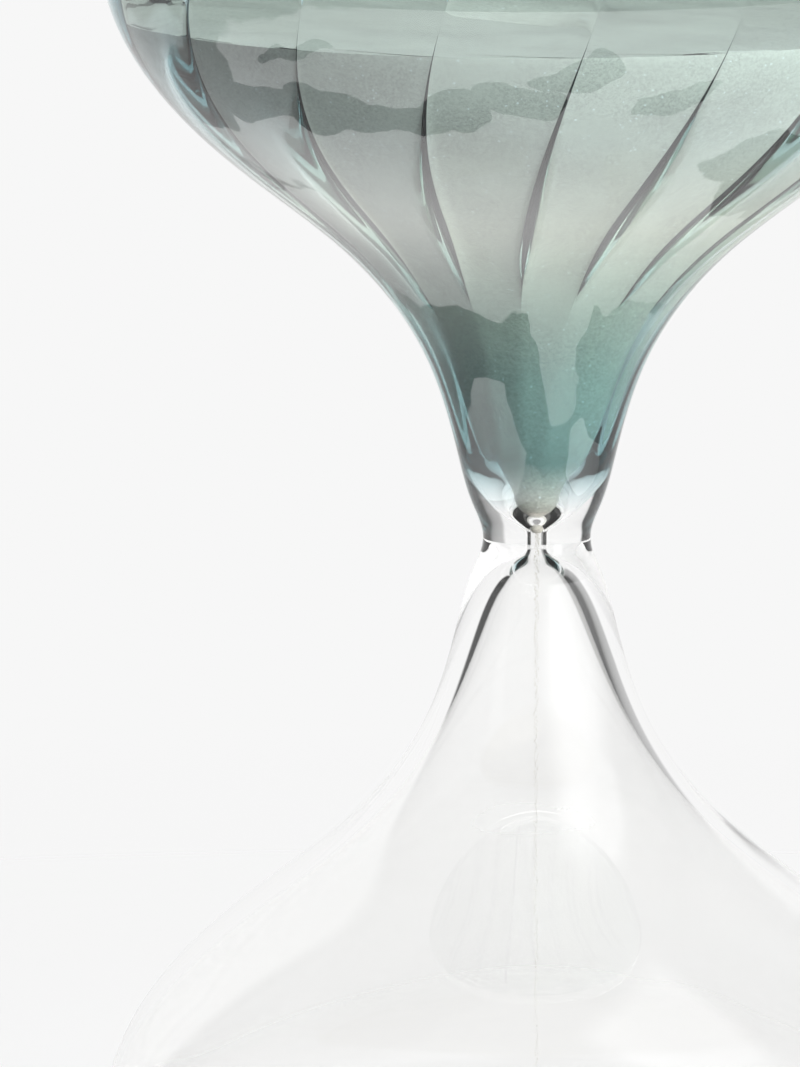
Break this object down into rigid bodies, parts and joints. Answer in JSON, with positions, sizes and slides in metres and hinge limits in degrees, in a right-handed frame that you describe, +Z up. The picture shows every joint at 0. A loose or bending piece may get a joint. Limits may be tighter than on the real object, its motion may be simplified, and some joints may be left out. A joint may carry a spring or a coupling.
{
  "type": "hourglass",
  "caption": "Free-standing blown-glass hourglass: a clear bulb and a ribbed blue-green bulb fused at a narrow neck, with pale sand running through the bore.",
  "frame": {"origin": "centre of the foot, on the surface it stands on", "axes": "+Z up along the axis of both bulbs; X and Y are any two directions square to it, the first rib crease lies near +X"},
  "size_m": [0.128, 0.128, 0.24],
  "materials": {
    "clear_glass": "clear blown glass, polished",
    "clear_glass_upper": "clear blown glass, polished",
    "tinted_glass": "blue-green tinted glass, optic-ribbed, polished",
    "sand": "fine pale sand with a few glinting grains",
    "falling_sand": "fine pale sand in free fall",
    "fallen_sand": "fine pale sand with a few glinting grains",
    "stopper": "translucent silicone, satin"
  },
  "bodies": {
    "root": {"lower_bulb": "clear_glass", "upper_bulb": "clear_glass_upper", "upper_lining": "tinted_glass", "upper_sand": "sand", "falling_sand": "falling_sand", "lower_sand": "fallen_sand", "fill_stopper": "stopper"}
  },
  "joints": []
}
